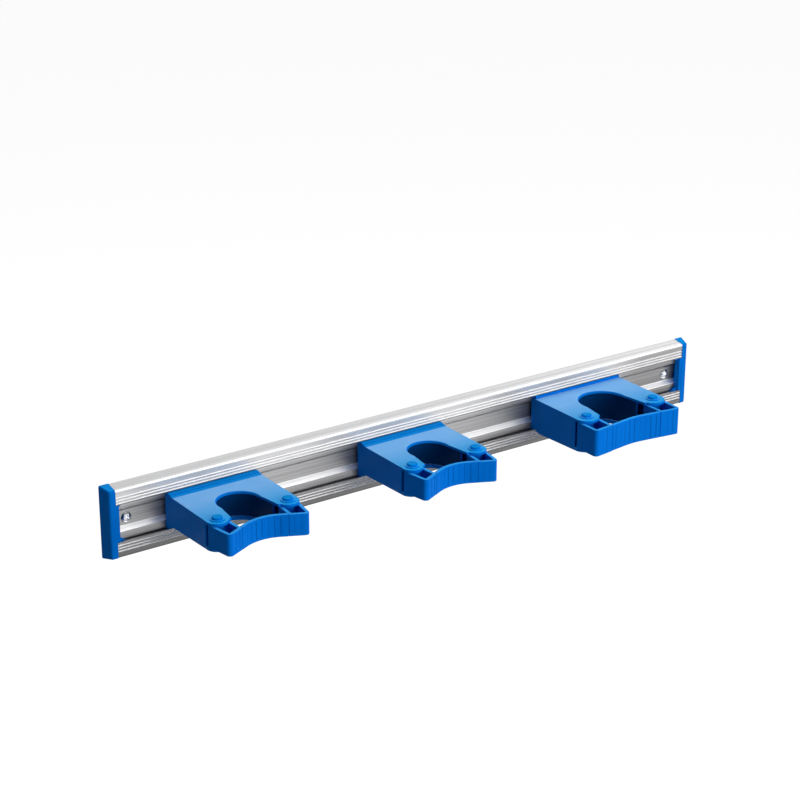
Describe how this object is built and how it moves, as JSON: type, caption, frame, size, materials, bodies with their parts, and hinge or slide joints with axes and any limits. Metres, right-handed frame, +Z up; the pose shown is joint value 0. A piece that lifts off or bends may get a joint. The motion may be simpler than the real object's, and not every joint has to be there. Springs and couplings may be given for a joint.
{
  "type": "tool holder rail",
  "caption": "Wall rail of aluminium with end caps, on which plastic holders slide; their hinged wings and strap grip the handles of brushes and mops.",
  "frame": {"origin": "middle of the rail's back face, on the wall plane", "axes": "+X along the rail to the right as seen from the front, +Y into the wall, +Z up; the holders look towards -Y"},
  "size_m": [0.5564, 0.1285, 0.0578],
  "materials": {
    "aluminium": "anodised, fine lines along the rail",
    "cap_plastic": "satin",
    "holder_plastic": "satin, fine grain",
    "pin_plastic": "smooth",
    "grip_rubber": "matt, ribbed strap",
    "screw_steel": "zinc plated, shiny"
  },
  "bodies": {
    "rail": {"rail": "aluminium", "end_cap_left": "cap_plastic", "end_cap_right": "cap_plastic", "wall_screw_left": "screw_steel", "wall_screw_right": "screw_steel"},
    "holder_1": {"housing_1": "holder_plastic", "shoe_1": "holder_plastic", "shoe_screws_1": "screw_steel", "strap_1": "grip_rubber", "hinge_pin_left_1": "pin_plastic", "hinge_pin_right_1": "pin_plastic"},
    "left_wing_1": {"wing_left_1": "grip_rubber"},
    "right_wing_1": {"wing_right_1": "grip_rubber"},
    "holder_2": {"housing_2": "holder_plastic", "shoe_2": "holder_plastic", "shoe_screws_2": "screw_steel", "strap_2": "grip_rubber", "hinge_pin_left_2": "pin_plastic", "hinge_pin_right_2": "pin_plastic"},
    "left_wing_2": {"wing_left_2": "grip_rubber"},
    "right_wing_2": {"wing_right_2": "grip_rubber"},
    "holder_3": {"housing_3": "holder_plastic", "shoe_3": "holder_plastic", "shoe_screws_3": "screw_steel", "strap_3": "grip_rubber", "hinge_pin_left_3": "pin_plastic", "hinge_pin_right_3": "pin_plastic"},
    "left_wing_3": {"wing_left_3": "grip_rubber"},
    "right_wing_3": {"wing_right_3": "grip_rubber"}
  },
  "joints": [
    {"name": "slide_1", "type": "slide", "parent": "rail", "child": "holder_1", "axis": [1, 0, 0], "range_m": [-0.031, 0.046]},
    {"name": "left_wing_hinge_1", "type": "hinge", "parent": "holder_1", "child": "left_wing_1", "pos_m": [-0.2195, -0.0674, 0.0018], "axis": [0, 0, 1], "range_deg": [0, 50], "stiffness_Nm_per_rad": 0.3, "deforming": ["strap_1"]},
    {"name": "right_wing_hinge_1", "type": "hinge", "parent": "holder_1", "child": "right_wing_1", "pos_m": [-0.1605, -0.0674, 0.0018], "axis": [0, 0, 1], "range_deg": [-50, 0], "stiffness_Nm_per_rad": 0.3},
    {"name": "slide_2", "type": "slide", "parent": "rail", "child": "holder_2", "axis": [1, 0, 0], "range_m": [-0.046, 0.046]},
    {"name": "left_wing_hinge_2", "type": "hinge", "parent": "holder_2", "child": "left_wing_2", "pos_m": [-0.0505, -0.0674, 0.0018], "axis": [0, 0, 1], "range_deg": [0, 50], "stiffness_Nm_per_rad": 0.3, "deforming": ["strap_2"]},
    {"name": "right_wing_hinge_2", "type": "hinge", "parent": "holder_2", "child": "right_wing_2", "pos_m": [0.0085, -0.0674, 0.0018], "axis": [0, 0, 1], "range_deg": [-50, 0], "stiffness_Nm_per_rad": 0.3},
    {"name": "slide_3", "type": "slide", "parent": "rail", "child": "holder_3", "axis": [1, 0, 0], "range_m": [-0.047, 0.058]},
    {"name": "left_wing_hinge_3", "type": "hinge", "parent": "holder_3", "child": "left_wing_3", "pos_m": [0.1214, -0.0638, 0.0018], "axis": [0, 0, 1], "range_deg": [0, 60], "stiffness_Nm_per_rad": 0.3, "deforming": ["strap_3"]},
    {"name": "right_wing_hinge_3", "type": "hinge", "parent": "holder_3", "child": "right_wing_3", "pos_m": [0.1906, -0.0638, 0.0018], "axis": [0, 0, 1], "range_deg": [-60, 0], "stiffness_Nm_per_rad": 0.3}
  ],
  "couplings": [
    {"joint": "right_wing_hinge_1", "follows": "left_wing_hinge_1", "ratio": -1},
    {"joint": "right_wing_hinge_2", "follows": "left_wing_hinge_2", "ratio": -1},
    {"joint": "right_wing_hinge_3", "follows": "left_wing_hinge_3", "ratio": -1}
  ]
}
